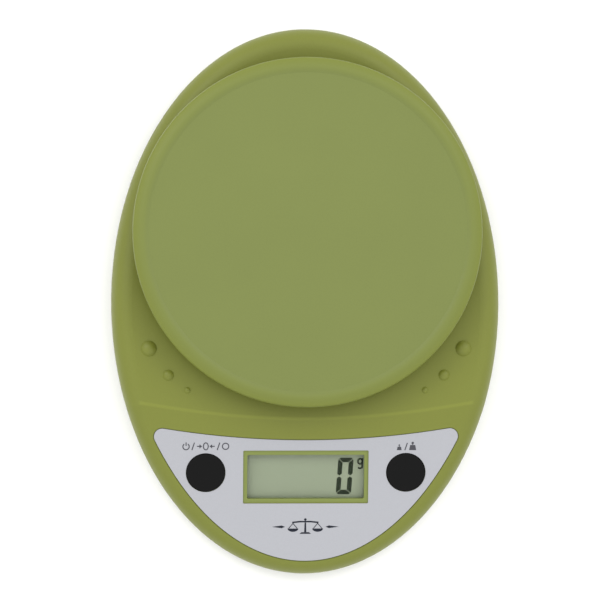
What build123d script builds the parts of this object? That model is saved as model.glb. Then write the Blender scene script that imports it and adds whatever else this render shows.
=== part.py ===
from build123d import *
import math
import os

# Countertop portion scale: an elliptical two-shell body, a round weighing platform over its back half and a
# tilted display console at its front. Millimetres. -Y is the front edge, +Z is up, and the origin lies on the
# bench under the centre of the elliptical outline.

# ---------------------------------------------------------------- driving dimensions
HALF_WIDTH = 76.7            # outline ellipse along X
HALF_LENGTH = 108.0          # outline ellipse along Y
UNDERSIDE_Z = 1.5            # the feet lift the base by this much
FLOOR = 2.0                  # lower housing floor
PARTING_Z = 6.5              # where the two shells meet
WALL = 2.2                   # upper housing wall
RIM_ROUND = 7.5              # outer edge of the upper housing
BASE_ROUND = 4.5             # outer edge of the underside
CREST_Y = -46.0              # console crest on the centre line
CREST_Z = 24.5
CREST_ROUND = 3.0
CONSOLE_TILT = 10.0          # degrees, falling towards the front
BOWL_RISE = 0.055            # slope of the shallow bowl round the platform

PLATFORM_Y = 27.4            # platform axis
PLATFORM_R = 68.8
PLATFORM_TOP = 37.4          # flat disc
DISC_R = 62.6                # where the disc meets the rim
RIM_TOP = 38.0               # raised rim round it
SKIRT_Z = 30.5               # lower edge of the platform
DISC = 2.4                   # platform skin
PLATFORM_TRAVEL = 0.6        # full load plus overload allowance
PEDESTAL_R = 45.0
PEDESTAL_Z = 29.0

CELL_LENGTH = 75.0           # single-point aluminium load cell
CELL_SIDE = 12.7
CELL_Z = 7.0
SPACER = 2.0
CARRIER = 2.0
CARRIER_R = 38.0

BATTERY_R = 7.25             # AA cell
BATTERY_LENGTH = 50.5
BATTERY_Y = -24.25           # middle of the battery bay
BATTERY_PITCH = 15.2
BAY_LENGTH = 59.0            # inside, along X
BAY_WIDTH = 30.5             # inside, along Y
BAY_WALL = 2.0
BAY_TOP = 19.0
DOOR_LEDGE = 1.0
DOOR_GAP = 0.3

WINDOW_Y = -69.2             # display centre
WINDOW_SIZE = (49.6, 21.4)   # cut-out in the printed panel
OPENING_SIZE = (46.3, 17.7)  # hole in the housing behind it
BUTTON_X = 39.6
BUTTON_Y = -67.4
BUTTON_R = 7.6
BUTTON_PROUD = 0.3           # button tops above the console face
OVERLAY = 0.5                # printed metal-look panel
OVERLAY_RECESS = 0.6
OVERLAY_TOP_Y = -54.6        # upper edge on the centre line
OVERLAY_TOP_ARC = 338.0      # radius of that edge
OVERLAY_CENTRE_Y = 42.2      # centre and half axes of the ellipse that gives its lower edge
OVERLAY_HALF_X = 80.2
OVERLAY_HALF_Y = 144.8
OVERLAY_CORNER = 3.2
OVERLAY_GAP = 0.35           # clearance round the panel in its recess
LENS = 1.0                   # clear display window
GLASS = 1.0                  # each sheet of the display
GLASS_DEPTH = WALL + LENS + 0.1
BOARD_DEPTH = 8.3            # board's top face, below the console face
BOARD = 1.6

FLOOR_Z = UNDERSIDE_Z + FLOOR
CELL_TOP = CELL_Z + CELL_SIDE
CARRIER_Z = CELL_TOP + SPACER
CARRIER_TOP = CARRIER_Z + CARRIER
CREST_REACH = PLATFORM_Y - CREST_Y
CELL_HOLES = (5.0, 20.0)     # from each end of the load cell
BATTERY_Z = FLOOR_Z + 0.55 + BATTERY_R

HOUSING_SCREWS = [(0, -94), (-61, -30), (61, -30), (-54, 62), (54, 62), (0, 97)]
FEET = [(-48, -58), (48, -58), (-42, 76), (42, 76)]
POSTS = [(x, PLATFORM_Y + y) for x in (-21.2, 21.2) for y in (-21.2, 21.2)]
BUMPS = [(62.2, -18.4, 3.15), (54.5, -28.9, 2.2), (47.0, -34.8, 1.3)]
BUMP_RISE = 0.52             # share of a bump's radius
FIXED_HOLES = [(-CELL_LENGTH / 2 + d, PLATFORM_Y) for d in CELL_HOLES]
FREE_HOLES = [(CELL_LENGTH / 2 - d, PLATFORM_Y) for d in CELL_HOLES]

CONSOLE = Plane(
    origin=(0, CREST_Y, CREST_Z),
    x_dir=(1, 0, 0),
    z_dir=(0, -math.sin(math.radians(CONSOLE_TILT)), math.cos(math.radians(CONSOLE_TILT))),
)
PLATFORM_AXIS = Axis((0, PLATFORM_Y, 0), (0, 0, 1))
PLATFORM_SECTION = Plane(origin=(0, PLATFORM_Y, 0), x_dir=(1, 0, 0), z_dir=(0, -1, 0))
BASE_UP = (Align.CENTER, Align.CENTER, Align.MIN)

os.makedirs("parts", exist_ok=True)


def save(piece, label):
    """Name a finished piece and write it."""
    piece.label = label
    export_step(piece, f"parts/{label}.step")


def console(depth):
    """The plane that lies depth under the console face; +Z points out of the console."""
    return CONSOLE.offset(-depth)


def on_console(x, y):
    """Console-plane coordinates of the point that lies over (x, y)."""
    return (x, (y - CREST_Y) / math.cos(math.radians(CONSOLE_TILT)))


def bowl_z(radius):
    """Height of the shallow bowl at a distance from the platform's axis."""
    return CREST_Z + (radius - CREST_REACH) * BOWL_RISE


DISPLAY_AT = on_console(0, WINDOW_Y)
BUTTONS_AT = [on_console(-BUTTON_X, BUTTON_Y), on_console(BUTTON_X, BUTTON_Y)]
BOARD_SCREWS = [on_console(x, y) for x in (-32.5, 32.5) for y in (-56.5, -79.0)]


# ---------------------------------------------------------------- upper housing
def body_form(inset, skin, rim_round):
    """Outer shape of the upper housing, drawn in sideways by inset and lowered by skin."""
    far = HALF_LENGTH + HALF_WIDTH
    roof = PEDESTAL_Z - skin
    foot_r = PEDESTAL_R - inset + 1.5
    with BuildPart() as form:
        with BuildSketch(Plane.XY.offset(PARTING_Z)):
            Ellipse(HALF_WIDTH - inset, HALF_LENGTH - inset)
        extrude(amount=PEDESTAL_Z + 2 - PARTING_Z)
        split(bisect_by=console(skin), keep=Keep.BOTTOM)
        with BuildSketch(PLATFORM_SECTION) as above:
            with BuildLine():
                Polyline(
                    (0, roof),
                    (PEDESTAL_R - inset, roof),
                    (foot_r, bowl_z(foot_r) - skin),
                    (far, bowl_z(far) - skin),
                    (far, far),
                    (0, far),
                    close=True,
                )
            make_face()
            pedestal_corners = above.vertices().group_by(Axis.X)[1:3]
            fillet(pedestal_corners[0] + pedestal_corners[1], radius=2)
        revolve(axis=PLATFORM_AXIS, mode=Mode.SUBTRACT)
        crest = form.edges().sort_by_distance((0, CREST_Y, CREST_Z - skin))[0]
        fillet(crest, radius=CREST_ROUND)

        def on_rim(edge):
            """Whether an edge runs along the top of the outer wall."""
            middle = edge @ 0.5
            reach = math.hypot(middle.X / (HALF_WIDTH - inset), middle.Y / (HALF_LENGTH - inset))
            return abs(reach - 1) < 0.004 and (edge @ 0).Z > PARTING_Z + 1 and (edge @ 1).Z > PARTING_Z + 1

        fillet(form.edges().filter_by(on_rim), radius=rim_round)
    return form.part


def upper_cavity():
    """The hollow of the upper housing, with its screw bosses left standing."""
    with BuildPart() as cavity:
        add(body_form(WALL, WALL, RIM_ROUND - WALL))
        with BuildSketch(Plane.XY.offset(PARTING_Z)):
            with Locations(*HOUSING_SCREWS):
                Circle(4)
        extrude(amount=PEDESTAL_Z, mode=Mode.SUBTRACT)
        with BuildSketch(console(BOARD_DEPTH)):
            with Locations(*BOARD_SCREWS):
                Circle(3)
        extrude(amount=BOARD_DEPTH, mode=Mode.SUBTRACT)
    return cavity.part


def overlay_outline(plane, margin):
    """The console panel's shield shape: the foot of an ellipse under a shallow arc, with rounded corners."""
    _, top = on_console(0, OVERLAY_TOP_Y)
    half_y = OVERLAY_HALF_Y / math.cos(math.radians(CONSOLE_TILT))
    with BuildSketch(plane) as outline:
        with Locations(on_console(0, OVERLAY_CENTRE_Y)):
            Ellipse(OVERLAY_HALF_X + margin, half_y + margin)
        with Locations((0, top + OVERLAY_TOP_ARC)):
            Circle(OVERLAY_TOP_ARC - margin, mode=Mode.SUBTRACT)
        fillet(outline.vertices(), radius=OVERLAY_CORNER + margin)
    return outline.sketch


with BuildPart() as upper_housing:
    add(body_form(0, 0, RIM_ROUND))
    # A small chamfer makes the shut line between the two shells.
    chamfer(upper_housing.edges().group_by(Axis.Z)[0], length=0.4)
    for bump_x, bump_y, bump_r in BUMPS:
        rise = BUMP_RISE * bump_r
        ball_r = (bump_r**2 + rise**2) / (2 * rise)
        ball_z = bowl_z(math.hypot(bump_x, bump_y - PLATFORM_Y)) + rise - ball_r
        with Locations((-bump_x, bump_y, ball_z), (bump_x, bump_y, ball_z)):
            Sphere(ball_r)
    add(upper_cavity(), mode=Mode.SUBTRACT)
    extrude(overlay_outline(console(OVERLAY_RECESS), OVERLAY_GAP), amount=5, mode=Mode.SUBTRACT)
    with BuildSketch(console(WALL + 1)):
        with Locations(DISPLAY_AT):
            RectangleRounded(*OPENING_SIZE, 0.6)
        with Locations(*BUTTONS_AT):
            Circle(BUTTON_R + 0.2)
    extrude(amount=WALL + 1, mode=Mode.SUBTRACT)
    with BuildSketch(Plane.XY.offset(PEDESTAL_Z - 2 * WALL)):
        with Locations(*POSTS):
            Circle(5.2)
    extrude(amount=2 * WALL, mode=Mode.SUBTRACT)
    with BuildSketch(Plane.XY.offset(PARTING_Z)):
        with Locations(*HOUSING_SCREWS):
            Circle(1.3)
    extrude(amount=7.5, mode=Mode.SUBTRACT)
    with BuildSketch(console(BOARD_DEPTH)):
        with Locations(*BOARD_SCREWS):
            Circle(1.05)
    extrude(amount=5, mode=Mode.SUBTRACT)
save(upper_housing.part, "upper_housing")


# ---------------------------------------------------------------- lower housing
DOOR_LENGTH = BAY_LENGTH + 2 * DOOR_LEDGE - 2 * DOOR_GAP
DOOR_WIDTH = BAY_WIDTH + 2 * DOOR_LEDGE - 2 * DOOR_GAP
BAY_FRONT = BATTERY_Y - BAY_WIDTH / 2
BAY_BACK = BATTERY_Y + BAY_WIDTH / 2
DOOR_TABS = (-18, 18)

with BuildPart() as lower_housing:
    with BuildSketch(Plane.XY.offset(UNDERSIDE_Z)):
        Ellipse(HALF_WIDTH, HALF_LENGTH)
    extrude(amount=PARTING_Z - UNDERSIDE_Z)
    fillet(lower_housing.edges().group_by(Axis.Z)[0], radius=BASE_ROUND)
    # A tongue round the top edge locates the upper housing.
    with BuildSketch(Plane.XY.offset(PARTING_Z)):
        Ellipse(HALF_WIDTH - WALL - 0.15, HALF_LENGTH - WALL - 0.15)
    extrude(amount=1.8)
    with BuildSketch(Plane.XY.offset(FLOOR_Z)):
        Ellipse(HALF_WIDTH - WALL - 1.4, HALF_LENGTH - WALL - 1.4)
    extrude(amount=2 * PARTING_Z, mode=Mode.SUBTRACT)
    with BuildSketch(Plane.XY.offset(FLOOR_Z)):
        with Locations(*HOUSING_SCREWS):
            Circle(4)
    extrude(amount=PARTING_Z - FLOOR_Z)
    # Seat of the load cell's fixed end, and the stop that its free end meets on overload.
    with Locations(((FIXED_HOLES[0][0] + FIXED_HOLES[1][0]) / 2, PLATFORM_Y, FLOOR_Z)):
        Box(23, 18, CELL_Z - FLOOR_Z, align=BASE_UP)
    with Locations((CELL_LENGTH / 2 - 4, PLATFORM_Y, FLOOR_Z)):
        Box(6, 14, CELL_Z - PLATFORM_TRAVEL - 0.1 - FLOOR_Z, align=BASE_UP)
    # Battery bay, open underneath.
    with Locations((0, BATTERY_Y, FLOOR_Z)):
        Box(BAY_LENGTH + 2 * BAY_WALL, BAY_WIDTH + 2 * BAY_WALL, BAY_TOP + 1.2 - FLOOR_Z, align=BASE_UP)
        Box(BAY_LENGTH, BAY_WIDTH, BAY_TOP - FLOOR_Z, align=BASE_UP, mode=Mode.SUBTRACT)
    with Locations((0, BATTERY_Y, UNDERSIDE_Z)):
        Box(
            BAY_LENGTH + 2 * DOOR_LEDGE,
            BAY_WIDTH + 2 * DOOR_LEDGE,
            FLOOR,
            align=BASE_UP,
            mode=Mode.SUBTRACT,
        )
    # Slots for the door's tabs, for the terminals' solder tags, and a finger notch at the latch.
    with Locations(*[(x, BAY_FRONT - BAY_WALL / 2, FLOOR_Z) for x in DOOR_TABS]):
        Box(9, BAY_WALL + 0.2, 2.1, align=BASE_UP, mode=Mode.SUBTRACT)
    for side in (-1, 1):
        with Locations((-BAY_LENGTH / 2 - BAY_WALL / 2, BATTERY_Y + side * BATTERY_PITCH / 2, BAY_TOP - 6.0)):
            Box(BAY_WALL + 0.2, 3.6, 1.0, mode=Mode.SUBTRACT)
    with BuildSketch(Plane.XY.offset(UNDERSIDE_Z)):
        with Locations((0, BAY_BACK + DOOR_LEDGE)):
            SlotOverall(16, 6)
    extrude(amount=1.0, mode=Mode.SUBTRACT)
    with BuildSketch(Plane.XY.offset(UNDERSIDE_Z)):
        with Locations(*FEET):
            Circle(6.2)
    extrude(amount=0.5, mode=Mode.SUBTRACT)
    with Locations(*[Location((x, y, UNDERSIDE_Z), (180, 0, 0)) for x, y in HOUSING_SCREWS]):
        CounterBoreHole(1.7, 3.2, 2.6, depth=PARTING_Z)
    with Locations(*[Location((x, y, UNDERSIDE_Z), (180, 0, 0)) for x, y in FIXED_HOLES]):
        CounterBoreHole(2.2, 4.0, 3.0, depth=CELL_Z)
save(lower_housing.part, "lower_housing")


# ---------------------------------------------------------------- battery door
with BuildPart() as battery_door:
    with Locations((0, BATTERY_Y, UNDERSIDE_Z)):
        Box(DOOR_LENGTH, DOOR_WIDTH, 1.8, align=BASE_UP)
    fillet(battery_door.edges().filter_by(Axis.Z), radius=1.2)
    # Two hooked tabs at the front reach through the bay's front wall.
    for tab_x in DOOR_TABS:
        with Locations((tab_x, BAY_FRONT + 0.85, UNDERSIDE_Z + 1.8)):
            Box(8, 1.3, 1.6, align=BASE_UP)
        with Locations((tab_x, BAY_FRONT - 0.15, UNDERSIDE_Z + 2.2)):
            Box(8, 3.3, 1.2, align=BASE_UP)
    # A springy latch tongue at the back, freed by two slits, with grip ribs under it.
    with BuildSketch(Plane.XY.offset(UNDERSIDE_Z)):
        with Locations((-6, BAY_BACK - 3), (6, BAY_BACK - 3)):
            Rectangle(0.8, 9)
    extrude(amount=1.8, mode=Mode.SUBTRACT)
    with BuildSketch(Plane.XY.offset(UNDERSIDE_Z)):
        with Locations(*[(0, BAY_BACK - 4 + 1.6 * row) for row in range(3)]):
            SlotOverall(8, 0.7)
    extrude(amount=0.4, mode=Mode.SUBTRACT)
save(battery_door.part, "battery_door")


# ---------------------------------------------------------------- screws
def screw_group(label, plane, points, head_r, head, shank_r, shank):
    """Cross-headed screws: heads start on the plane, shanks point along its +Z."""
    with BuildPart() as screws:
        with BuildSketch(plane):
            with Locations(*points):
                Circle(head_r)
        extrude(amount=head)
        with BuildSketch(plane.offset(head)):
            with Locations(*points):
                Circle(shank_r)
        extrude(amount=shank)
        with BuildSketch(plane):
            with Locations(*points):
                Rectangle(1.3 * head_r, 0.3 * head_r)
                Rectangle(0.3 * head_r, 1.3 * head_r)
        extrude(amount=0.6 * head, mode=Mode.SUBTRACT)
        round_edges = screws.edges().filter_by(GeomType.CIRCLE)
        head_rims = round_edges.filter_by(lambda e: e.radius > head_r - 0.01)
        top_rims = head_rims.filter_by(lambda e: abs(plane.to_local_coords(e @ 0).Z) < 0.01)
        fillet(top_rims, radius=0.3 * head)
    save(screws.part, label)


TURNED_OVER = Plane(origin=(0, 0, CARRIER_TOP + 2.4), x_dir=(1, 0, 0), z_dir=(0, 0, -1))
BOARD_BACK = console(BOARD_DEPTH + BOARD + 1.4)
screw_group("housing_screws", Plane.XY.offset(UNDERSIDE_Z + 0.6), HOUSING_SCREWS, 2.8, 2.0, 1.25, 8.5)
screw_group("load_cell_screws", Plane.XY.offset(UNDERSIDE_Z + 0.5), FIXED_HOLES, 3.5, 2.5, 1.95, 9.5)
screw_group("platform_screws", Plane.XY.offset(CARRIER_Z - 2.0), POSTS, 2.8, 2.0, 1.25, 9.0)
screw_group("carrier_screws", TURNED_OVER, [(x, -y) for x, y in FREE_HOLES], 3.5, 2.4, 1.95, 12.0)
screw_group("board_screws", BOARD_BACK, BOARD_SCREWS, 2.0, 1.4, 1.0, 5.0)


# ---------------------------------------------------------------- feet
with BuildPart() as rubber_feet:
    with BuildSketch():
        with Locations(*FEET):
            Circle(6)
    extrude(amount=UNDERSIDE_Z + 0.5)
    fillet(rubber_feet.edges().group_by(Axis.Z)[0], radius=0.5)
save(rubber_feet.part, "rubber_feet")


# ---------------------------------------------------------------- load cell and what it carries
with BuildPart() as load_cell:
    with Locations((0, PLATFORM_Y, CELL_Z)):
        Box(CELL_LENGTH, CELL_SIDE, CELL_SIDE, align=BASE_UP)
    # The joined pair of holes leaves four thin bending webs.
    with BuildSketch(PLATFORM_SECTION):
        with Locations((-7, CELL_Z + CELL_SIDE / 2), (7, CELL_Z + CELL_SIDE / 2)):
            Circle(4.9)
        with Locations((0, CELL_Z + CELL_SIDE / 2)):
            Rectangle(14, 3)
    extrude(amount=CELL_SIDE, both=True, mode=Mode.SUBTRACT)
    with BuildSketch(Plane.XY.offset(CELL_Z)):
        with Locations(*FIXED_HOLES):
            Circle(2)
    extrude(amount=8.5, mode=Mode.SUBTRACT)
    with BuildSketch(Plane.XY.offset(CELL_TOP)):
        with Locations(*FREE_HOLES):
            Circle(2)
    extrude(amount=-9, mode=Mode.SUBTRACT)
    chamfer(load_cell.edges().filter_by(Axis.X).group_by(Axis.Z)[-1], length=0.4)
save(load_cell.part, "load_cell")

with BuildPart() as strain_gauge_covers:
    for face_z in (CELL_Z - 0.7, CELL_TOP):
        with BuildSketch(Plane.XY.offset(face_z)):
            with Locations((0, PLATFORM_Y)):
                RectangleRounded(26, 10.5, 2)
        extrude(amount=0.7)
save(strain_gauge_covers.part, "strain_gauge_covers")

with BuildPart() as carrier_spacer:
    with BuildSketch(Plane.XY.offset(CELL_TOP)):
        with Locations(((FREE_HOLES[0][0] + FREE_HOLES[1][0]) / 2, PLATFORM_Y)):
            RectangleRounded(21, CELL_SIDE - 1, 1)
        with Locations(*FREE_HOLES):
            Circle(2.2, mode=Mode.SUBTRACT)
    extrude(amount=SPACER)
save(carrier_spacer.part, "carrier_spacer")

with BuildPart() as platform_carrier:
    with BuildSketch(Plane.XY.offset(CARRIER_Z)):
        with Locations((0, PLATFORM_Y)):
            Circle(CARRIER_R)
            with PolarLocations(26, 2, start_angle=90):
                SlotOverall(22, 10, rotation=90, mode=Mode.SUBTRACT)
        with Locations(*POSTS):
            Circle(1.7, mode=Mode.SUBTRACT)
        with Locations(*FREE_HOLES):
            Circle(2.2, mode=Mode.SUBTRACT)
    extrude(amount=CARRIER)
    # Two stiffening ribs on top, clear of the screw heads.
    with Locations((0, PLATFORM_Y - 10.5, CARRIER_TOP), (0, PLATFORM_Y + 10.5, CARRIER_TOP)):
        Box(56, 1.5, 1.6, align=BASE_UP)
save(platform_carrier.part, "platform_carrier")

with BuildPart() as weighing_platform:
    with BuildSketch(PLATFORM_SECTION) as section:
        with BuildLine():
            Polyline((0, PLATFORM_TOP - DISC), (0, PLATFORM_TOP), (DISC_R, PLATFORM_TOP))
            # The rim swells out of the flat disc and rolls over to the skirt.
            Spline(
                (DISC_R, PLATFORM_TOP),
                (DISC_R + 2.6, RIM_TOP),
                (PLATFORM_R - 1.2, RIM_TOP - 1.1),
                (PLATFORM_R, RIM_TOP - 4.0),
                tangents=[(1, 0.45), (0, -1)],
            )
            Polyline(
                (PLATFORM_R, RIM_TOP - 4.0),
                (PLATFORM_R - 0.6, SKIRT_Z),
                (PLATFORM_R - 2.6, SKIRT_Z),
                (PLATFORM_R - 3.4, PLATFORM_TOP - DISC),
                (0, PLATFORM_TOP - DISC),
            )
        make_face()
    revolve(axis=PLATFORM_AXIS)
    with BuildSketch(Plane.XY.offset(SKIRT_Z + 1)):
        with Locations((0, PLATFORM_Y)):
            Circle(41)
            Circle(39.5, mode=Mode.SUBTRACT)
            with PolarLocations(52, 12, start_angle=15):
                Rectangle(25, 1.4)
            with PolarLocations(26, 8):
                Rectangle(28, 1.4)
    extrude(amount=PLATFORM_TOP - DISC / 2 - SKIRT_Z - 1)
    with BuildSketch(Plane.XY.offset(CARRIER_TOP)):
        with Locations(*POSTS):
            Circle(4)
    extrude(amount=PLATFORM_TOP - DISC / 2 - CARRIER_TOP)
    with BuildSketch(Plane.XY.offset(CARRIER_TOP)):
        with Locations(*POSTS):
            Circle(1.3)
    extrude(amount=8, mode=Mode.SUBTRACT)
save(weighing_platform.part, "weighing_platform")


# ---------------------------------------------------------------- console panel, window and display
with BuildPart() as front_overlay:
    extrude(overlay_outline(console(OVERLAY_RECESS), 0), amount=OVERLAY)
    with BuildSketch(console(OVERLAY_RECESS)):
        with Locations(DISPLAY_AT):
            RectangleRounded(*WINDOW_SIZE, 0.5)
        with Locations(*BUTTONS_AT):
            Circle(BUTTON_R + 0.25)
    extrude(amount=OVERLAY, mode=Mode.SUBTRACT)
save(front_overlay.part, "front_overlay")


def console_plate(label, width, height, top_depth, thickness, corner=0.5):
    """A rectangular sheet parallel to the console, centred on the display."""
    with BuildPart() as plate:
        with BuildSketch(console(top_depth + thickness)):
            with Locations(DISPLAY_AT):
                RectangleRounded(width, height, corner)
        extrude(amount=thickness)
    save(plate.part, label)


console_plate("display_window", 51.0, 22.0, WALL, LENS)
console_plate("lcd_front_glass", 52.0, 24.0, GLASS_DEPTH, GLASS)
console_plate("lcd_rear_glass", 52.0, 19.0, GLASS_DEPTH + GLASS, GLASS)

with BuildPart() as lcd_frame:
    with BuildSketch(console(BOARD_DEPTH)):
        with Locations(DISPLAY_AT):
            RectangleRounded(57, 28, 1)
            Rectangle(52.4, 24.4, mode=Mode.SUBTRACT)
    extrude(amount=BOARD_DEPTH - GLASS_DEPTH)
save(lcd_frame.part, "lcd_frame")

with BuildPart() as contact_strips:
    with BuildSketch(console(BOARD_DEPTH)):
        with Locations(DISPLAY_AT):
            with Locations((0, -10.9), (0, 10.9)):
                Rectangle(48, 2)
    extrude(amount=BOARD_DEPTH - GLASS_DEPTH - GLASS)
save(contact_strips.part, "contact_strips")


# ---------------------------------------------------------------- circuit board
with BuildPart() as main_board:
    with BuildSketch(console(BOARD_DEPTH + BOARD)) as board_shape:
        with Locations(on_console(0, -68.3)):
            Rectangle(100, 32)
        chamfer(board_shape.vertices().group_by(Axis.Y)[0], length=12)
        with Locations(*BOARD_SCREWS):
            Circle(1.2, mode=Mode.SUBTRACT)
    extrude(amount=BOARD)
save(main_board.part, "main_board")

BOARD_UNDER = BOARD_DEPTH + BOARD

with BuildPart() as controller_blob:
    with BuildSketch(console(BOARD_UNDER)):
        with Locations(on_console(6, -68)):
            Circle(6.5)
    extrude(amount=-1.5)
    fillet(controller_blob.edges().sort_by(Axis.Z)[0], radius=1.3)
save(controller_blob.part, "controller_blob")

with BuildPart() as converter_chip:
    with BuildSketch(console(BOARD_UNDER)):
        with Locations(on_console(-18, -68)):
            Rectangle(10, 4)
    extrude(amount=-1.6)
    with BuildSketch(console(BOARD_UNDER)):
        with Locations(on_console(-18, -68)):
            with GridLocations(1.27, 5.2, 8, 2):
                Rectangle(0.45, 1.2)
    extrude(amount=-0.5)
save(converter_chip.part, "converter_chip")

with BuildPart() as board_capacitors:
    with BuildSketch(console(BOARD_UNDER)):
        with Locations(on_console(22, -62), on_console(22, -75)):
            Circle(2.5)
    extrude(amount=-4.5)
    with BuildSketch(console(BOARD_UNDER)):
        with Locations(on_console(-2, -60)):
            with GridLocations(3.5, 2.5, 4, 2):
                Rectangle(1.6, 0.8)
    extrude(amount=-0.8)
save(board_capacitors.part, "board_capacitors")


# ---------------------------------------------------------------- buttons and their switches
SWITCH_TOP = 4.8             # top of the switch body, below the console face
PLUNGER_TOP = 4.0
for side, place in zip(("tare", "unit"), BUTTONS_AT):
    with BuildPart() as button:
        with BuildSketch(console(WALL + 1.1)):
            with Locations(place):
                Circle(BUTTON_R + 1.1)
        extrude(amount=1.0)
        with BuildSketch(console(WALL + 0.1)):
            with Locations(place):
                Circle(BUTTON_R)
        extrude(amount=WALL + 0.1 + BUTTON_PROUD)
        top_rim = button.edges().filter_by(GeomType.CIRCLE).sort_by(Axis((0, 0, 0), CONSOLE.z_dir))[-1]
        fillet(top_rim, radius=0.4)
        with BuildSketch(console(PLUNGER_TOP)):
            with Locations(place):
                Circle(2)
        extrude(amount=PLUNGER_TOP - WALL - 1)
    save(button.part, f"{side}_button")

    with BuildPart() as plunger:
        with BuildSketch(console(6.0)):
            with Locations(place):
                Circle(1.7)
        extrude(amount=6.0 - PLUNGER_TOP)
    save(plunger.part, f"{side}_switch_plunger")

    with BuildPart() as switch_body:
        with BuildSketch(console(BOARD_DEPTH)):
            with Locations(place):
                RectangleRounded(6, 6, 0.4)
        extrude(amount=BOARD_DEPTH - SWITCH_TOP)
        with BuildSketch(console(7.0)):
            with Locations(place):
                Circle(1.8)
        extrude(amount=7.0 - SWITCH_TOP, mode=Mode.SUBTRACT)
    save(switch_body.part, f"{side}_switch_body")


# ---------------------------------------------------------------- batteries and contacts
TERMINAL = 0.4               # contact sheet
DIMPLE = 1.2                 # raised button of a positive contact
BAY_END = BAY_LENGTH / 2
NUB = 1.2
SPRING_WIRE = 0.4


def across_bay(x, y, facing):
    """A plane across the bay at x, facing along +X or -X, with its own X along the bay's Y."""
    return Plane(origin=(x, y, BATTERY_Z), x_dir=(0, 1, 0), z_dir=(facing, 0, 0))


for name, row, facing in (("battery_front", -1, -1), ("battery_rear", 1, 1)):
    battery_y = BATTERY_Y + row * BATTERY_PITCH / 2
    tip = BAY_END - TERMINAL - DIMPLE
    with BuildPart() as battery:
        with BuildSketch(across_bay(facing * tip, battery_y, -facing)):
            Circle(2.7)
        extrude(amount=2 * NUB)
        with BuildSketch(across_bay(facing * (tip - NUB), battery_y, -facing)):
            Circle(BATTERY_R)
        extrude(amount=BATTERY_LENGTH - NUB)
        rims = battery.edges().filter_by(lambda e: e.geom_type == GeomType.CIRCLE and e.radius > 7)
        fillet(rims, radius=0.5)
    save(battery.part, name)

with BuildPart() as bridge_plate:
    with BuildSketch(across_bay(BAY_END, BATTERY_Y, -1)):
        RectangleRounded(28, 11, 1)
    extrude(amount=TERMINAL)
    with BuildSketch(across_bay(BAY_END, BATTERY_Y + BATTERY_PITCH / 2, -1)):
        Circle(2.4)
    extrude(amount=TERMINAL + DIMPLE)
save(bridge_plate.part, "battery_bridge_plate")

with BuildPart() as terminal_plates:
    for row in (-1, 1):
        plate_y = BATTERY_Y + row * BATTERY_PITCH / 2
        with BuildSketch(across_bay(-BAY_END, plate_y, 1)):
            RectangleRounded(12, 11, 1)
        extrude(amount=TERMINAL)
        # The solder tag passes out through the bay wall.
        with Locations((-BAY_END - 1.6, plate_y, BAY_TOP - 6.0)):
            Box(4.0, 3.0, 0.5)
    with BuildSketch(across_bay(-BAY_END, BATTERY_Y - BATTERY_PITCH / 2, 1)):
        Circle(2.4)
    extrude(amount=TERMINAL + DIMPLE)
save(terminal_plates.part, "battery_terminal_plates")

with BuildPart() as battery_springs:
    gap = BAY_LENGTH - 2 * TERMINAL - DIMPLE - BATTERY_LENGTH
    for row, facing in ((-1, -1), (1, 1)):
        spring_y = BATTERY_Y + row * BATTERY_PITCH / 2
        base = Vector(-facing * (BAY_END - TERMINAL - SPRING_WIRE - 0.02), spring_y, BATTERY_Z)
        with BuildLine() as coil:
            Helix(
                pitch=(gap - 2 * SPRING_WIRE - 0.04) / 3.5,
                height=gap - 2 * SPRING_WIRE - 0.04,
                radius=4.2,
                center=base,
                direction=(facing, 0, 0),
            )
        with BuildSketch(Plane(origin=coil.line @ 0, z_dir=coil.line % 0)):
            Circle(SPRING_WIRE)
        sweep(path=coil.line, is_frenet=True)
save(battery_springs.part, "battery_springs")


# ---------------------------------------------------------------- wiring
def wire(label, points, radius, bends):
    """A round lead along straight runs joined by tangent arcs."""
    with BuildPart() as lead:
        with BuildLine() as route:
            FilletPolyline(*points, radius=bends)
        with BuildSketch(Plane(origin=route.line @ 0, z_dir=route.line % 0)):
            Circle(radius)
        sweep(path=route.line)
    length = sum(edge.length for edge in route.edges())
    filled = lead.part.volume / (math.pi * radius**2 * length)
    print(label, "length", round(length, 1), "volume over section times length", round(filled, 3))
    save(lead.part, label)


def under_board(x, y, drop):
    """A point under the board, drop below its lower face."""
    local_x, local_y = on_console(x, y)
    return tuple(console(BOARD_UNDER + drop).from_local_coords((local_x, local_y, 0)))


TAG_X = -BAY_END - 3.6
TAG_Z = BAY_TOP - 6.0
CELL_FRONT = PLATFORM_Y - CELL_SIDE / 2
wire(
    "load_cell_cable",
    [
        (-13, CELL_FRONT, 16.5),
        (-13, 13, 16.5),
        (-27, 4, 10.5),
        (-40, -10, 7.5),
        (-40, -36, 7.5),
        (-37, -51, 8.5),
        under_board(-26, -63, 4),
        under_board(-26, -63, 0),
    ],
    1.25,
    [3, 6, 8, 6, 5, 1.8],
)
for colour, row, end_x, end_y in (("red", -1, -12.5, -56), ("black", 1, -17.5, -60)):
    tag_y = BATTERY_Y + row * BATTERY_PITCH / 2
    lane = 3.2 if row > 0 else 0.0
    wire(
        f"battery_wire_{colour}",
        [
            (TAG_X, tag_y, TAG_Z - 0.25),
            (TAG_X, tag_y, TAG_Z - 4),
            (TAG_X - lane, tag_y - 7, TAG_Z - 5.5),
            (TAG_X + 2 - lane, -46 - lane, TAG_Z - 5.5),
            under_board(end_x, end_y, 5),
            under_board(end_x, end_y, 0),
        ],
        0.6,
        [1.5, 2.5, 3, 1.8],
    )
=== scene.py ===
"""Looks of the portion scale: materials for the CAD pieces, printed graphics, display segments, floor, lights
and camera. Metres, in the CAD's frame: -Y is the front edge, +Z is up and the origin is on the bench."""

import math

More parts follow.
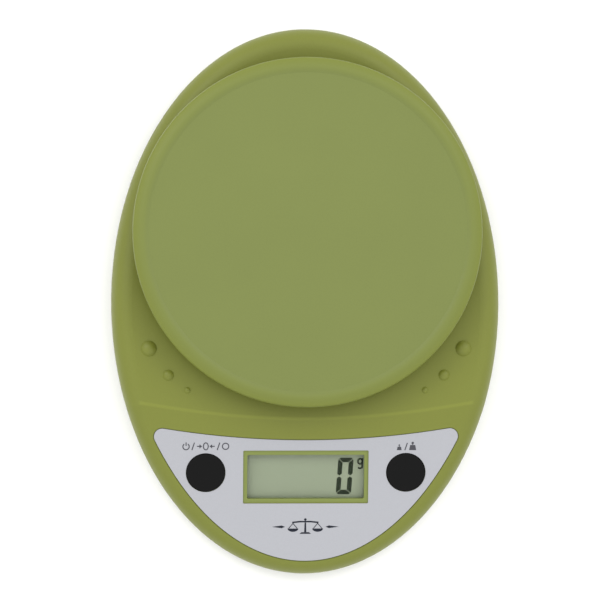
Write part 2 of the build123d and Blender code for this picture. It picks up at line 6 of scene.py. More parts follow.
import bmesh
import bpy
from mathutils import Matrix, Vector


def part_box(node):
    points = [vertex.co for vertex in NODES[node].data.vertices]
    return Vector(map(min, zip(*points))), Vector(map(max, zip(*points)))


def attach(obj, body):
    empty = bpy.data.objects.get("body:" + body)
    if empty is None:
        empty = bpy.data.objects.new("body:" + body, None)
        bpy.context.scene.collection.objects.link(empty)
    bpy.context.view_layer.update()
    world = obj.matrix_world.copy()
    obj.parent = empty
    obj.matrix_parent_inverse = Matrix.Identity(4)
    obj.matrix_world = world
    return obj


MM = 0.001

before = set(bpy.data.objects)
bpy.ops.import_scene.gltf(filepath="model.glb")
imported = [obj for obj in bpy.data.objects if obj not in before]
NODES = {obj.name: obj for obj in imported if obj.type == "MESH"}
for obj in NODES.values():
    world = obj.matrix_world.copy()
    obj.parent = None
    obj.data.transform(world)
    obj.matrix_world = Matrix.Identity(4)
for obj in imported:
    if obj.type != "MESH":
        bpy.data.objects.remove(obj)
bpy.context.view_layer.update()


def box_centre(node):
    low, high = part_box(node)
    return (low + high) / 2


# ---------------------------------------------------------------- material helpers
def linear(red, green, blue):
    """An sRGB colour in 0 to 255 as the linear RGBA that Blender's sockets hold."""
    parts = []
    for value in (red, green, blue):
        share = value / 255
        parts.append(share / 12.92 if share <= 0.04045 else ((share + 0.055) / 1.055) ** 2.4)
    return (*parts, 1.0)


def shade(amount, colour):
    """A colour made lighter or darker by a share."""
    return (*[min(1.0, part * amount) for part in colour[:3]], 1.0)


class Graph:
    """A material's node tree, with short names for the nodes that the materials here share."""

    def __init__(self, name, **values):
        self.material = bpy.data.materials.new(name)
        self.material.use_nodes = True
        self.tree = self.material.node_tree
        self.shader = next(n for n in self.tree.nodes if n.type == "BSDF_PRINCIPLED")
        for socket, value in values.items():
            self.shader.inputs[socket.replace("_", " ")].default_value = value
        self.position = self.tree.nodes.new("ShaderNodeTexCoord").outputs["Object"]

    def link(self, output, node, socket):
        """Joins an output to a node's input, given by name or place."""
        self.tree.links.new(output, node.inputs[socket])

    def noise(self, scale, detail=3.0, roughness=0.5, source=None):
        node = self.tree.nodes.new("ShaderNodeTexNoise")
        node.inputs["Scale"].default_value = scale
        node.inputs["Detail"].default_value = detail
        node.inputs["Roughness"].default_value = roughness
        self.link(source or self.position, node, "Vector")
        return node.outputs["Fac"]

    def scaled(self, scale):
        """The position, scaled along each axis."""
        node = self.tree.nodes.new("ShaderNodeMapping")
        node.inputs["Scale"].default_value = scale
        self.link(self.position, node, "Vector")
        return node.outputs["Vector"]

    def axis(self, which, vector=None):
        """One coordinate: 0, 1 or 2 for X, Y or Z."""
        node = self.tree.nodes.new("ShaderNodeSeparateXYZ")
        self.link(vector or self.position, node, "Vector")
        return node.outputs[which]

    def math(self, operation, *terms):
        """One arithmetic step on one, two or three terms, each an output or a number."""
        node = self.tree.nodes.new("ShaderNodeMath")
        node.operation = operation
        for place, term in enumerate(terms):
            if isinstance(term, (int, float)):
                node.inputs[place].default_value = term
            else:
                self.link(term, node, place)
        return node.outputs["Value"]

    def from_axis(self, centre):
        """How far a point is from an upright line through a centre."""
        node = self.tree.nodes.new("ShaderNodeVectorMath")
        node.operation = "DISTANCE"
        node.inputs[1].default_value = (centre.x, centre.y, 0.0)
        self.link(self.scaled((1.0, 1.0, 0.0)), node, 0)
        return node.outputs["Value"]

    def away(self, which, centre):
        """How far a point is from a centre along one axis."""
        return self.math("ABSOLUTE", self.math("SUBTRACT", self.axis(which), centre))

    def stripes(self, which, pitch, share):
        """1 on lines that repeat along one axis and fill a share of the pitch, 0 between them."""
        phase = self.math("FRACT", self.math("DIVIDE", self.axis(which), pitch))
        return self.ramp(phase, (0.0, 1.0), (share, 0.0), hard=True)

    def dots(self, scale, radius):
        """1 on round spots strewn about, 0 between them."""
        node = self.tree.nodes.new("ShaderNodeTexVoronoi")
        node.inputs["Scale"].default_value = scale
        self.link(self.position, node, "Vector")
        return self.ramp(node.outputs["Distance"], (0.0, 1.0), (radius, 0.0), hard=True)

    def tone(self, colour, variation, scale=1500.0):
        """A colour with faint light and dark specks in it."""
        dark, light = shade(1 - variation, colour), shade(1 + variation, colour)
        return self.ramp(self.noise(scale), (0.3, dark), (0.7, light))

    def ramp(self, source, *stops, hard=False):
        """Colours, or greys given as one number, at places from 0 to 1."""
        node = self.tree.nodes.new("ShaderNodeValToRGB")
        band = node.color_ramp
        band.interpolation = "CONSTANT" if hard else "LINEAR"
        while len(band.elements) < len(stops):
            band.elements.new(0.5)
        for element, (place, colour) in zip(band.elements, stops):
            element.position = place
            element.color = colour if isinstance(colour, tuple) else (colour, colour, colour, 1.0)
        self.link(source, node, "Fac")
        return node.outputs["Color"]

    def between(self, source, low, high, from_low=0.0, from_high=1.0):
        """A value stretched from one range to another, and held at its ends."""
        node = self.tree.nodes.new("ShaderNodeMapRange")
        node.inputs["From Min"].default_value = from_low
        node.inputs["From Max"].default_value = from_high
        node.inputs["To Min"].default_value = low
        node.inputs["To Max"].default_value = high
        self.link(source, node, "Value")
        return node.outputs["Result"]

    def mix(self, share, under, over):
        """Two colour outputs mixed by a share output."""
        node = self.tree.nodes.new("ShaderNodeMix")
        node.data_type = "RGBA"
        self.link(share, node, 0)
        self.link(under, node, 6)
        self.link(over, node, 7)
        return node.outputs[2]

    def colour(self, output):
        self.link(output, self.shader, "Base Color")

    def roughness(self, output):
        self.link(output, self.shader, "Roughness")

    def metallic(self, output):
        self.link(output, self.shader, "Metallic")

    def bump(self, *layers):
        """Stacked bumps, each a height output, a strength and a distance in metres."""
        normal = None
        for height, strength, distance in layers:
            node = self.tree.nodes.new("ShaderNodeBump")
            node.inputs["Strength"].default_value = strength
            node.inputs["Distance"].default_value = distance
            self.link(height, node, "Height")
            if normal:
                self.link(normal, node, "Normal")
            normal = node.outputs["Normal"]
        self.link(normal, self.shader, "Normal")


def moulded(name, colour, rough, grain=2600.0, depth=0.00002, fleck=0.03, markings=(), **values):
    """Moulded plastic or rubber: spark-eroded grain, very faint flow marks and slightly uneven gloss.

    Each marking takes the graph and gives a share, and the colour to mix in by that share."""
    graph = Graph(name, **values)
    cloud, spread = 0.015, 0.02
    flow = graph.noise(30.0, 3.0, 0.55)
    pigment = graph.noise(1500.0, 2.0, 0.6)
    light, dark = [
        graph.ramp(flow, (0.3, shade(level - cloud, colour)), (0.7, shade(level + cloud, colour)))
        for level in (1, 1 - fleck)
    ]
    surface = graph.mix(graph.ramp(pigment, (0.42, 0.0), (0.66, 1.0)), light, dark)
    for marking in markings:
        share, tint = marking(graph)
        surface = graph.mix(share, surface, graph.tone(tint, cloud))
    graph.colour(surface)
    graph.roughness(graph.between(graph.noise(160.0, 3.0), rough - spread, rough + spread, 0.3, 0.7))
    graph.bump((graph.noise(grain, 2.0, 0.6), 0.3, depth))
    return graph.material


def metal(name, colour, rough, along=(1.0, 1.0, 1.0), variation=0.06):
    """Drawn or milled metal with fine scratches along the axis that is squeezed least."""
    graph = Graph(name, Metallic=1.0)
    scratches = graph.noise(900.0, 5.0, 0.6, source=graph.scaled(along))
    dark, light = shade(1 - variation, colour), shade(1 + variation, colour)
    graph.colour(graph.ramp(scratches, (0.3, dark), (0.7, light)))
    graph.roughness(graph.between(scratches, rough - 0.08, rough + 0.1, 0.3, 0.7))
    graph.bump((scratches, 0.2, 0.00002))
    return graph.material


# ---------------------------------------------------------------- the object's materials
def overlay_material():
    """Printed film: a pale metallic ink with fine flakes under a satin coat."""
    graph = Graph("overlay_film", Coat_Weight=0.2, Coat_Roughness=0.25)
    base = linear(153, 154, 159)
    flakes = graph.noise(5200.0, 1.0, 0.5)
    graph.colour(graph.ramp(flakes, (0.35, shade(0.95, base)), (0.65, shade(1.04, base))))
    graph.roughness(graph.between(graph.noise(120.0, 3.0), 0.34, 0.44, 0.3, 0.7))
    graph.bump((flakes, 0.12, 0.00002))
    return graph.material


def display_material():
    """The liquid crystal's reflective grey-green ground, with the faint grain of its diffuser."""
    graph = Graph("display_ground", IOR=1.5)
    base = linear(135, 145, 120)
    grain = graph.noise(3800.0, 2.0)
    graph.colour(graph.ramp(grain, (0.3, shade(0.97, base)), (0.7, shade(1.03, base))))
    graph.roughness(graph.between(graph.noise(90.0, 2.0), 0.32, 0.4, 0.3, 0.7))
    return graph.material


def window_material():
    """A thin clear acrylic sheet: almost nothing but its gloss."""
    graph = Graph("window_acrylic", IOR=1.49, Alpha=0.06)
    smear = graph.noise(70.0, 3.0)
    graph.colour(graph.ramp(smear, (0.3, linear(70, 78, 62)), (0.7, linear(82, 90, 74))))
    graph.roughness(graph.between(smear, 0.04, 0.09, 0.3, 0.7))
    return graph.material


def ink(name, red, green, blue, gloss):
    """Screen-printed ink, slightly uneven in tone and gloss."""
    graph = Graph(name, Specular_IOR_Level=gloss)
    base = linear(red, green, blue)
    speckle = graph.noise(2400.0, 3.0)
    graph.colour(graph.ramp(speckle, (0.3, shade(0.9, base)), (0.7, shade(1.1, base))))
    graph.roughness(graph.between(speckle, 0.4, 0.5, 0.3, 0.7))
    return graph.material


def board_material():
    """Green solder mask over copper traces, with tinned holes."""
    graph = Graph("circuit_board", Coat_Weight=0.3, Coat_Roughness=0.2)
    mask = graph.tone(linear(20, 92, 50), 0.06)
    trace = graph.tone(linear(44, 128, 70), 0.05)
    tin = graph.tone(linear(196, 194, 184), 0.05)
    region = graph.ramp(graph.noise(110.0, 1.0), (0.0, 0.0), (0.5, 1.0), hard=True)
    traces = graph.mix(region, graph.stripes(0, 1.3 * MM, 0.26), graph.stripes(1, 1.1 * MM, 0.28))
    holes = graph.dots(260.0, 0.16)
    graph.colour(graph.mix(holes, graph.mix(traces, mask, trace), tin))
    graph.metallic(holes)
    graph.roughness(graph.between(graph.noise(400.0), 0.28, 0.4, 0.3, 0.7))
    graph.bump((traces, 0.3, 0.00004))
    return graph.material


def battery_material(name, node, facing):
    """A printed sleeve with a pale band near the positive end, and bare steel at both ends."""
    graph = Graph(name)
    low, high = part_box(node)
    ends = (low.x, high.x) if facing > 0 else (high.x, low.x)
    along = graph.math("DIVIDE", graph.math("SUBTRACT", graph.axis(0), ends[0]), ends[1] - ends[0])
    steel, sleeve = linear(188, 187, 182), linear(24, 58, 108)
    line, pale = linear(226, 174, 60), linear(206, 209, 214)
    printed = graph.ramp(
        along,
        (0.0, steel),
        (0.03, sleeve),
        (0.66, line),
        (0.675, sleeve),
        (0.69, pale),
        (0.945, steel),
        hard=True,
    )
    scuffs = graph.noise(600.0, 4.0)
    dull = graph.tone(linear(60, 62, 66), 0.02)
    graph.colour(graph.mix(graph.ramp(scuffs, (0.62, 0.0), (0.9, 0.35)), printed, dull))
    graph.metallic(graph.ramp(along, (0.0, 1.0), (0.03, 0.15), (0.945, 1.0), hard=True))
    graph.roughness(graph.between(scuffs, 0.24, 0.38, 0.3, 0.7))
    graph.bump((scuffs, 0.1, 0.00002))
    return graph.material


def contact_strip_material():
    """Silicone rubber strip with fine black conducting layers across it."""
    graph = Graph("layered_rubber")
    rubber = graph.tone(linear(196, 150, 148), 0.04)
    carbon = graph.tone(linear(34, 34, 36), 0.1)
    graph.colour(graph.mix(graph.stripes(0, 0.5 * MM, 0.5), rubber, carbon))
    graph.roughness(graph.between(graph.noise(300.0), 0.5, 0.64, 0.3, 0.7))
    return graph.material


def chip_material():
    """Black resin, with tinned legs along both long sides."""
    graph = Graph("leaded_chip")
    body_half_width = 2.08 * MM
    from_middle = graph.away(1, box_centre("converter_chip").y)
    legs = graph.ramp(from_middle, (0.0, 0.0), (body_half_width, 1.0), hard=True)
    resin = graph.tone(linear(26, 26, 28), 0.12)
    tin = graph.tone(linear(198, 197, 190), 0.05)
    graph.colour(graph.mix(legs, resin, tin))
    graph.metallic(legs)
    graph.roughness(graph.between(graph.noise(700.0), 0.34, 0.46, 0.3, 0.7))
    return graph.material


def capacitor_material():
    """Aluminium cans at the right, and small ceramic blocks at the left."""
    graph = Graph("capacitors")
    cans_width = 5.5 * MM
    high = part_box("board_capacitors")[1]
    past_edge = graph.math("SUBTRACT", graph.axis(0), high.x - cans_width)
    cans = graph.ramp(past_edge, (0.0, 0.0), (0.00001, 1.0), hard=True)
    ceramic = graph.tone(linear(176, 146, 106), 0.06)
    aluminium = graph.tone(linear(192, 192, 196), 0.04, 400.0)
    graph.colour(graph.mix(cans, ceramic, aluminium))
    graph.metallic(cans)
    graph.roughness(graph.between(graph.noise(500.0), 0.3, 0.42, 0.3, 0.7))
    return graph.material


SHELL = linear(107, 113, 42)
# painted reflection: the paler colour of the ledge under the display window
LEDGE_PAINTED_REFLECTION = linear(111, 121, 60)
PLATFORM = linear(105, 114, 57)
PLATFORM_RIM = linear(106, 114, 41)
MATTE = {"Specular_IOR_Level": 0.3}

# The housing's and platform's own sizes, as part.py has them: they place the markings below.
CREST = Vector((0.0, -0.0460, 0.0245))
CONSOLE_FALL = math.tan(math.radians(10.0))
BOWL_RISE = 0.055
DISC_RADIUS = 62.6 * MM
RIM_WIDTH = 6.2 * MM
LEDGE_HALF_X, LEDGE_HALF_Y = 24.9 * MM, 10.8 * MM


def painted_crest_highlight(graph):
    """A painted highlight: a lighter line along the crest where the bowl round the platform meets the
    console.
    """
    axis = box_centre("weighing_platform")
    out = graph.math("SUBTRACT", graph.from_axis(axis), axis.y - CREST.y)
    bowl = graph.math("MULTIPLY_ADD", out, BOWL_RISE, CREST.z)
    ahead = graph.math("SUBTRACT", graph.axis(1), CREST.y)
    console = graph.math("MULTIPLY_ADD", ahead, CONSOLE_FALL, CREST.z)
    apart = graph.math("ABSOLUTE", graph.math("SUBTRACT", bowl, console))
    sunk = graph.math("SUBTRACT", graph.math("MINIMUM", bowl, console), graph.axis(2))
    on_crest = graph.between(apart, 1.0, 0.0, 0.07 * MM, 0.20 * MM)
    on_top = graph.between(sunk, 1.0, 0.0, 0.3 * MM, 0.6 * MM)
    # painted highlight: the band is the shell's own colour made 13% lighter
    return graph.math("MULTIPLY", on_crest, on_top), shade(1.13, SHELL)


def painted_ledge_reflection(graph):
    """The ledge between the panel's cut-out and the display's opening, coloured paler as a painted reflection
    of the clear window over it.
    """
    centre = box_centre("lcd_front_glass")
    inside_x = graph.math("LESS_THAN", graph.away(0, centre.x), LEDGE_HALF_X)
    inside_y = graph.math("LESS_THAN", graph.away(1, centre.y), LEDGE_HALF_Y)
    inside = graph.math("MULTIPLY", inside_x, inside_y)
    above = graph.math("GREATER_THAN", graph.axis(2), centre.z)
    return graph.math("MULTIPLY", inside, above), LEDGE_PAINTED_REFLECTION


def rim_marking(graph):
    """A deeper green on the platform's rim, blending in from the disc's edge across the rim's width."""
    reach = graph.from_axis(box_centre("weighing_platform"))
    return graph.between(reach, 0.0, 1.0, DISC_RADIUS, DISC_RADIUS + RIM_WIDTH), PLATFORM_RIM


MATERIALS = {
    # The shell's markings are a painted highlight on the crest and a painted reflection on the ledge.
    "shell": moulded("shell_plastic", SHELL, 0.44, markings=(painted_crest_highlight, painted_ledge_reflection), **MATTE),
    "platform": moulded("platform_plastic", PLATFORM, 0.48, markings=(rim_marking,), **MATTE),
    "button": moulded("button_rubber", linear(12, 12, 12), 0.6, grain=1800.0, Specular_IOR_Level=0.1),
    "foot": moulded("foot_rubber", linear(40, 40, 42), 0.75, grain=1200.0),
    "black_plastic": moulded("black_plastic", linear(30, 30, 31), 0.5),
    "frame": moulded("frame_plastic", linear(214, 214, 208), 0.5),
    "nylon": moulded("carrier_nylon", linear(48, 48, 50), 0.6, grain=900.0, fleck=0.12),
    "sealant": moulded("gauge_sealant", linear(222, 221, 214), 0.4, grain=300.0, depth=0.0002),
    "resin": moulded("chip_resin", linear(22, 22, 24), 0.3, grain=500.0),
    "grey_sheath": moulded("cable_sheath", linear(120, 121, 124), 0.5),
    "red_sheath": moulded("red_sheath", linear(176, 26, 24), 0.45),
    "black_sheath": moulded("black_sheath", linear(26, 26, 28), 0.45),
    "aluminium": metal("cell_aluminium", linear(205, 206, 208), 0.32, (1.0, 14.0, 14.0)),
    "steel": metal("screw_steel", linear(186, 186, 184), 0.3),
    "nickel": metal("contact_nickel", linear(200, 197, 188), 0.24),
    "board": board_material(),
    "cell_to_left": battery_material("sleeve_to_left", "battery_front", -1),
    "cell_to_right": battery_material("sleeve_to_right", "battery_rear", 1),
    "layered": contact_strip_material(),
    "chip": chip_material(),
    "capacitors": capacitor_material(),
    "overlay": overlay_material(),
    "display": display_material(),
    "window": window_material(),
    "film": metal("sticker_film", linear(176, 177, 180), 0.42, (1.0, 30.0, 1.0), 0.02),
    "ink": ink("panel_ink", 60, 60, 66, 0.3),
    "mark_ink": ink("mark_ink", 20, 24, 36, 0.2),
    "segment": ink("display_segment", 30, 38, 26, 0.05),
}

FINISHES = {
    "shell": ["upper_housing", "lower_housing", "battery_door"],
    "platform": ["weighing_platform"],
    "overlay": ["front_overlay"],
    "window": ["display_window"],
    "display": ["lcd_front_glass", "lcd_rear_glass"],
    "button": ["tare_button", "unit_button"],
    "foot": ["rubber_feet"],
    "frame": ["lcd_frame"],
    "nylon": ["platform_carrier"],
    "sealant": ["strain_gauge_covers"],
    "resin": ["controller_blob"],
    "chip": ["converter_chip"],
    "board": ["main_board"],
    "layered": ["contact_strips"],
    "cell_to_left": ["battery_front"],
    "cell_to_right": ["battery_rear"],
    "black_plastic": ["tare_switch_body", "unit_switch_body", "tare_switch_plunger", "unit_switch_plunger"],
    "aluminium": ["load_cell", "carrier_spacer"],
    "steel": ["housing_screws", "load_cell_screws", "carrier_screws", "platform_screws", "board_screws"],
    "nickel": ["battery_bridge_plate", "battery_terminal_plates", "battery_springs"],
    "capacitors": ["board_capacitors"],
    "grey_sheath": ["load_cell_cable"],
    "red_sheath": ["battery_wire_red"],
    "black_sheath": ["battery_wire_black"],
}
for finish, names in FINISHES.items():
    for node in names:
        mesh = NODES[node].data
        mesh.materials.clear()
        mesh.materials.append(MATERIALS[finish])


# ---------------------------------------------------------------- printed graphics and display segments
class Face:
    """The largest face of a node that looks up or down: a plane to draw on, in millimetres round a centre."""

    def __init__(self, node, centre, facing=1):
        faces = [p for p in NODES[node].data.polygons if p.normal.z * facing > 0.9]
        top = max(faces, key=lambda p: p.area)
        self.normal = top.normal.copy()
        self.right = Vector((1, 0, 0))
        self.up = self.normal.cross(self.right)
        drop = (Vector((centre.x, centre.y, 0)) - top.center).dot(self.normal) / self.normal.z
        self.centre = Vector((centre.x, centre.y, -drop))

    def at(self, x, y, lift):
        return self.centre + (self.right * x + self.up * y + self.normal * lift) * MM


def ribbon(points, width, closed=False):
    """The outline of a line of constant width through 2D points, mitred at its corners."""
    count = len(points)
    sides = ([], [])
    for i, point in enumerate(points):
        here = Vector(point)
        before = Vector(points[i - 1]) if closed or i else None
        after = Vector(points[(i + 1) % count]) if closed or i < count - 1 else None
        into = (here - before).normalized() if before else (after - here).normalized()
        out = (after - here).normalized() if after else into
        across = Vector((-into.y - out.y, into.x + out.x)).normalized()
        reach = width / 2 / max(0.35, across.dot(Vector((-into.y, into.x))))
        sides[0].append(here + across * reach)
        sides[1].append(here - across * reach)
    return sides


def arc(x, y, radius, start, end, steps=24, squash=1.0):
    """Points on a circle's arc, or on an ellipse's where squash narrows it along X. Degrees."""
    turn = [math.radians(start + (end - start) * i / steps) for i in range(steps + 1)]
    return [(x + radius * squash * math.cos(a), y + radius * math.sin(a)) for a in turn]


def rounded(half_x, half_y, radius):
    """A rectangle with round corners."""
    corners = ((1, -1, -90), (1, 1, 0), (-1, 1, 90), (-1, -1, 180))
    outline = []
    for side, end, start in corners:
        outline += arc(side * (half_x - radius), end * (half_y - radius), radius, start, start + 90, 6)
    return outline


def rectangle(x, y, half_x, half_y):
    """A rectangle's corners round its centre."""
    corners = ((-1, -1), (1, -1), (1, 1), (-1, 1))
    return [(x + side * half_x, y + end * half_y) for side, end in corners]


def slab(bm, face, outline, lift, thickness):
    """A closed flat piece over a 2D outline, standing on a plane."""
    low = [bm.verts.new(face.at(x, y, lift)) for x, y in outline]
    high = [bm.verts.new(face.at(x, y, lift + thickness)) for x, y in outline]
    bm.faces.new(high)
    bm.faces.new(list(reversed(low)))
    for i in range(len(outline)):
        j = (i + 1) % len(outline)
        bm.faces.new((low[i], low[j], high[j], high[i]))


def band(bm, face, sides, lift, thickness):
    """A closed ring between two 2D loops of the same count, standing on a plane."""
    outer, inner = sides
    count = len(outer)
    rows = [
        [bm.verts.new(face.at(x, y, height)) for x, y in loop]
        for loop, height in (
            (outer, lift),
            (outer, lift + thickness),
            (inner, lift + thickness),
            (inner, lift),
        )
    ]
    for i in range(count):
        j = (i + 1) % count
        for k in range(4):
            near, far = rows[k], rows[(k + 1) % 4]
            bm.faces.new((near[i], near[j], far[j], far[i]))


class Print:
    """One printed piece: strokes and filled shapes laid on a face."""

    def __init__(self, face, lift, thickness):
        self.face, self.lift, self.thickness = face, lift, thickness
        self.bm = bmesh.new()

    def fill(self, outline):
        slab(self.bm, self.face, outline, self.lift, self.thickness)

    def line(self, points, width):
        left, right = ribbon(points, width)
        self.fill(right + list(reversed(left)))

    def ring(self, points, width):
        band(self.bm, self.face, ribbon(points, width, closed=True), self.lift, self.thickness)

    def finish(self, name, material, body, slot):
        bmesh.ops.recalc_face_normals(self.bm, faces=self.bm.faces)
        mesh = bpy.data.meshes.new(name)
        self.bm.to_mesh(mesh)
        self.bm.free()
        mesh.materials.append(material)
        piece = bpy.data.objects.new(name, mesh)
        bpy.context.scene.collection.objects.link(piece)
        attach(piece, body)


def slash(sheet, x, width):
    sheet.line([(x - 0.5, -1.5), (x + 0.5, 1.5)], width)


def power_label(face):
    """On, zero-with-arrows and off signs between slashes, over the left button."""
    sheet = Print(face, 0.0, 0.03)
    pen = 0.42
    sheet.line(arc(-7.8, -0.1, 1.25, 125, 415), pen)
    sheet.line([(-7.8, 0.2), (-7.8, 1.6)], pen)
    slash(sheet, -5.0, pen)
    sheet.ring(arc(0, 0, 1.4, 0, 345, 23, squash=0.68), pen)
    for side in (-1, 1):
        sheet.line([(side * 3.5, 0), (side * 2.4, 0)], pen)
        sheet.fill([(side * 2.5, 0.85), (side * 1.45, 0), (side * 2.5, -0.85)][::side])
    slash(sheet, 5.0, pen)
    sheet.ring(arc(7.8, 0, 1.25, 0, 345, 23), pen)
    return sheet


def unit_label(face):
    """A light and a heavy weight with a slash between them, over the right button."""
    sheet = Print(face, 0.0, 0.03)
    base = -1.45
    for x, half, tall in ((-2.7, 0.95, 1.35), (2.6, 1.4, 2.05)):
        top = base + tall
        sheet.fill([(x - half, base), (x + half, base), (x + half * 0.72, top), (x - half * 0.72, top)])
        sheet.fill(rectangle(x, top + 0.18, 0.2, 0.12))
        sheet.fill(arc(x, top + 0.32 + half * 0.36, half * 0.36, 0, 345, 23))
    slash(sheet, 0, 0.42)
    return sheet


def maker_mark(face):
    """A plain beam balance between two tapered rules, where such scales carry a name."""
    sheet = Print(face, 0.0, 0.03)
    pan_x, pan_y = 4.9, -0.7
    sheet.line([(-pan_x - 0.3, 1.75), (-2.2, 2.1), (2.2, 2.1), (pan_x + 0.3, 1.75)], 0.62)
    sheet.fill([(-0.42, -2.15), (0.42, -2.15), (0.3, 1.72), (-0.3, 1.72)])
    sheet.fill([(-2.3, -2.85), (2.3, -2.85), (1.5, -2.2), (-1.5, -2.2)])
    sheet.fill(arc(0, 2.95, 0.5, 0, 345, 23))
    for side in (-1, 1):
        for end in (-1.7, 1.7):
            sheet.line([(side * pan_x, 1.4), (side * pan_x + end, pan_y + 0.05)], 0.3)
        sheet.fill([(side * pan_x + x, pan_y + y * 0.62) for x, y in arc(0, 0, 2.15, 180, 360, 16)])
        rule = [(side * 8.0, 0.0), (side * 9.4, 0.55), (side * 13.25, 0.0), (side * 9.4, -0.55)]
        sheet.fill(rule[::side])
    return sheet


def zero_digit(face):
    """Six lit segments of a leaning seven-segment numeral at the display's right end."""
    sheet = Print(face, 0.0, 0.02)
    middle, level, half_width, half_height, stroke, gap, lean = 15.6, -0.35, 3.05, 7.4, 1.85, 0.12, 0.065
    corner = 0.9

    def leaning(points):
        return [(middle + x + y * lean, level + y) for x, y in points]

    inner_x, inner_y = half_width - stroke, half_height - stroke
    for side in (-1, 1):
        bar = [
            (-half_width + corner + gap, side * half_height),
            (half_width - corner - gap, side * half_height),
            (half_width - corner * 0.42, side * (half_height - corner * 0.5)),
            (inner_x - gap, side * inner_y),
            (-inner_x + gap, side * inner_y),
            (-half_width + corner * 0.42, side * (half_height - corner * 0.5)),
        ]
        sheet.fill(leaning(bar))
        for half in (-1, 1):
            post = [
                (side * half_width, half * (half_height - corner - gap)),
                (side * half_width, half * (0.8 + gap)),
                (side * (half_width - stroke / 2), half * (0.05 + gap)),
                (side * inner_x, half * (0.8 + gap)),
                (side * inner_x, half * (inner_y - gap)),
                (side * (half_width - corner * 0.3), half * (half_height - corner * 0.62 - gap)),
            ]
            sheet.fill(leaning(post))
    return sheet


def gram_sign(face):
    """The small unit sign beside the numeral."""
    sheet = Print(face, 0.0, 0.02)
    x, y, pen = 21.65, 5.55, 0.72
    sheet.ring(arc(x, y, 1.02, 0, 345, 23, squash=0.85), pen)
    hook = arc(x, 3.62, 0.88, -10, -150, 12)
    sheet.line([(x + 0.88, 6.9), (x + 0.88, 3.7)] + hook, pen)
    return sheet


STICKER = (23.0, 12.0)    # half its width and depth, in millimetres
FILM = 0.12               # its thickness


def sticker_film(face):
    """The blank film of the rating sticker under the base."""
    sheet = Print(face, 0.0, FILM)
    sheet.fill(rounded(*STICKER, 2.0))
    return sheet


def sticker_print(face):
    """How the two cells go in, the direct current sign and three blank rows. No words or numbers."""
    sheet = Print(face, FILM, 0.02)
    margin, pen, sign = 1.2, 0.35, 1.1
    sheet.ring(rounded(STICKER[0] - margin, STICKER[1] - margin, 1.4), 0.25)
    cell_x, cell_half_x, cell_half_y = -9.5, 7.5, 2.6
    for y, facing in ((-4.2, 1), (4.2, -1)):
        sheet.ring(rectangle(cell_x, y, cell_half_x, cell_half_y), pen)
        sheet.fill(rectangle(cell_x + facing * (cell_half_x + 0.8), y, 0.6, 1.0))
        plus, minus = cell_x + facing * 5.0, cell_x - facing * 5.0
        sheet.line([(plus - sign, y), (plus + sign, y)], pen)
        for end in (-1, 1):
            sheet.line([(plus, y + end * pen / 2), (plus, y + end * sign)], pen)
        sheet.line([(minus - sign, y), (minus + sign, y)], pen)
    row_start, dash, dash_pitch = 5.5, 1.8, 2.6
    sheet.line([(row_start, 7.4), (row_start + 2 * dash_pitch + dash, 7.4)], 0.5)
    for i in range(3):
        start = row_start + i * dash_pitch
        sheet.line([(start, 6.0), (start + dash, 6.0)], 0.5)
    for y, end in ((1.8, 19.5), (-2.2, 16.5), (-6.2, 19.5)):
        sheet.line([(row_start, y), (end, y)], 0.3)
    return sheet


MARK_Y = -89.0 * MM
STICKER_Y = 62.0 * MM
POWER_LABEL_RISE = 10.0 * MM
UNIT_LABEL_RISE = 9.8 * MM

panel_at_mark = Face("front_overlay", Vector((0, MARK_Y, 0)))
display_face = Face("lcd_front_glass", box_centre("lcd_front_glass"))
panel_left = Face("front_overlay", box_centre("tare_button") + Vector((0, POWER_LABEL_RISE, 0)))
panel_right = Face("front_overlay", box_centre("unit_button") + Vector((0, UNIT_LABEL_RISE, 0)))
base_face = Face("lower_housing", Vector((0, STICKER_Y, 0)), facing=-1)

power_label(panel_left).finish("power_label", MATERIALS["ink"], "case", "panel_silver")
unit_label(panel_right).finish("unit_label", MATERIALS["ink"], "case", "panel_silver")
maker_mark(panel_at_mark).finish("balance_mark", MATERIALS["mark_ink"], "case", "panel_silver")
zero_digit(display_face).finish("display_numeral", MATERIALS["segment"], "case", "display_glass")
gram_sign(display_face).finish("display_unit_sign", MATERIALS["segment"], "case", "display_glass")
sticker_film(base_face).finish("rating_sticker", MATERIALS["film"], "case", "panel_silver")
sticker_print(base_face).finish("rating_print", MATERIALS["ink"], "case", "panel_silver")


# ---------------------------------------------------------------- floor, light and camera
def floor_material():
    graph = Graph("floor_card")
    colour = (0.93, 0.93, 0.93, 1.0)
    soft = graph.noise(6.0, 2.0)
    graph.colour(graph.ramp(soft, (0.3, shade(0.995, colour)), (0.7, colour)))
    graph.roughness(graph.between(soft, 0.78, 0.82))
    return graph.material


def make_floor():
    """A wide white card just under the feet."""
    bm = bmesh.new()
    bmesh.ops.create_grid(bm, x_segments=2, y_segments=2, size=4.0)
    mesh = bpy.data.meshes.new("floor")
    bm.to_mesh(mesh)
    bm.free()
    floor = bpy.data.objects.new("floor", mesh)
    floor.location = (0, 0, -0.00002)
    bpy.context.scene.collection.objects.link(floor)
    mesh.materials.append(floor_material())


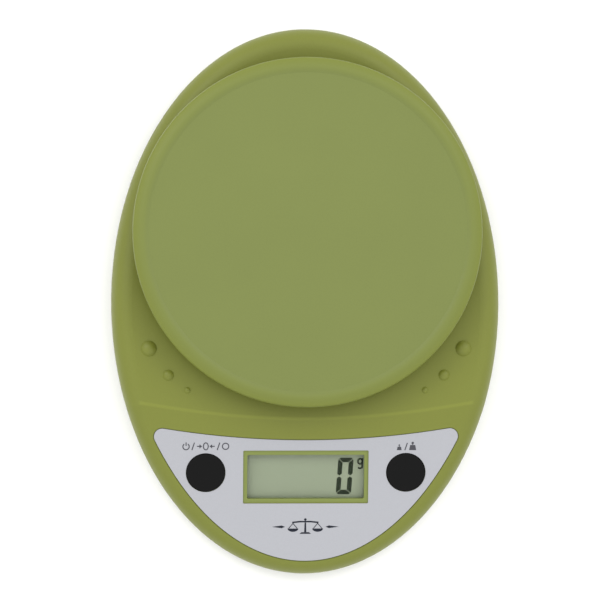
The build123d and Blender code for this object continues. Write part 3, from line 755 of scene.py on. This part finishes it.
def make_light(name, place, size, power):
    """A round softbox aimed at the origin."""
    light = bpy.data.lights.new(name, "AREA")
    light.shape = "DISK"
    light.size = size
    light.energy = power
    lamp = bpy.data.objects.new(name, light)
    lamp.location = place
    lamp.rotation_euler = (-lamp.location).to_track_quat("-Z", "Y").to_euler()
    bpy.context.scene.collection.objects.link(lamp)


def make_world(strength, *stops):
    """A white tent whose brightness follows the height of the direction, from 0 level to 1 straight up."""
    world = bpy.data.worlds.new("studio")
    world.use_nodes = True
    tree = world.node_tree
    place = tree.nodes.new("ShaderNodeTexCoord")
    parts = tree.nodes.new("ShaderNodeSeparateXYZ")
    fade = tree.nodes.new("ShaderNodeValToRGB")
    tree.links.new(place.outputs["Generated"], parts.inputs["Vector"])
    tree.links.new(parts.outputs["Z"], fade.inputs["Fac"])
    tree.links.new(fade.outputs["Color"], tree.nodes["Background"].inputs["Color"])
    band = fade.color_ramp
    while len(band.elements) < len(stops):
        band.elements.new(0.5)
    for element, (height, grey) in zip(band.elements, stops):
        element.position = height
        element.color = (grey, grey, grey, 1.0)
    tree.nodes["Background"].inputs["Strength"].default_value = strength
    bpy.context.scene.world = world


def make_camera():
    """Nearly straight down from 1.9 m, a little to the left of the object."""
    eye = Vector((-0.105, 0.0, 1.9))
    aim = Vector((-0.0020, 0.0008, 0.015))
    half_view = 0.1189
    camera_data = bpy.data.cameras.new("camera")
    camera_data.sensor_width = 36.0
    camera_data.lens = 18.0 * (eye - aim).length / half_view
    camera_data.clip_start = 0.01
    camera = bpy.data.objects.new("camera", camera_data)
    back = (eye - aim).normalized()
    right = Vector((0, 1, 0)).cross(back).normalized()
    up = back.cross(right)
    camera.matrix_world = Matrix.Translation(eye) @ Matrix((right, up, back)).transposed().to_4x4()
    bpy.context.scene.collection.objects.link(camera)
    bpy.context.scene.camera = camera


make_floor()
make_world(1.65, (0.0, 0.5), (0.35, 0.75), (0.7, 0.97), (1.0, 0.8))
make_light("left_softbox", (-0.9, 0.8, 1.2), size=0.9, power=6.0)
make_light("right_softbox", (0.9, 0.8, 1.2), size=0.9, power=4.5)
make_camera()
bpy.context.scene.view_settings.view_transform = "Standard"
